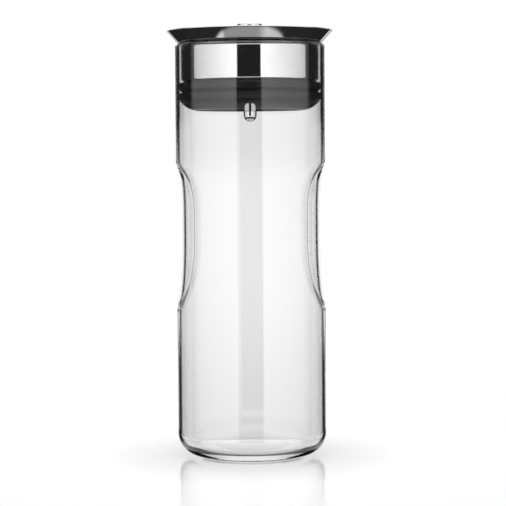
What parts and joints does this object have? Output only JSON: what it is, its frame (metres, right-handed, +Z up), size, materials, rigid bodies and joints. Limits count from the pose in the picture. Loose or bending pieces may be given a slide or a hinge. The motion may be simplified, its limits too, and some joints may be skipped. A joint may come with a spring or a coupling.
{
  "type": "water carafe",
  "caption": "Cylindrical glass water carafe with grip hollows, a flared steel pouring collar on a silicone-sealed stopper, and a self-closing domed lid with a hanging weight.",
  "frame": {"origin": "centre of the base, on the surface it stands on", "axes": "+Z up along the axis of the carafe; the grip hollows face +X and -X; the lid opens towards +X, and the pictured front faces -Y"},
  "size_m": [0.1104, 0.1104, 0.2871],
  "materials": {
    "clear_glass": "clear colourless soda-lime glass, fire polished, with faint blowing waviness",
    "polished_steel": "mirror-polished stainless steel with faint fine polishing scratches",
    "black_plastic": "moulded black nylon with a fine satin texture",
    "black_silicone": "black food-grade silicone, smooth satin"
  },
  "bodies": {
    "carafe": {"glass_body": "clear_glass"},
    "closure": {"pouring_collar": "polished_steel", "closure_core": "black_plastic", "seal_ring": "black_silicone"},
    "lid": {"lid_cap": "polished_steel", "lid_knob": "polished_steel", "lid_base": "black_plastic", "lid_gasket": "black_silicone", "pendulum_rod": "polished_steel", "stop_washer": "black_silicone", "pendulum_weight": "polished_steel"}
  },
  "joints": [
    {"name": "closure_lift", "type": "slide", "parent": "carafe", "child": "closure", "axis": [0, 0, 1], "range_m": [0, 0.12]},
    {"name": "lid_tilt", "type": "hinge", "parent": "closure", "child": "lid", "pos_m": [-0.0412, 0, 0.26825], "axis": [0, -1, 0], "range_deg": [0, 14]}
  ]
}
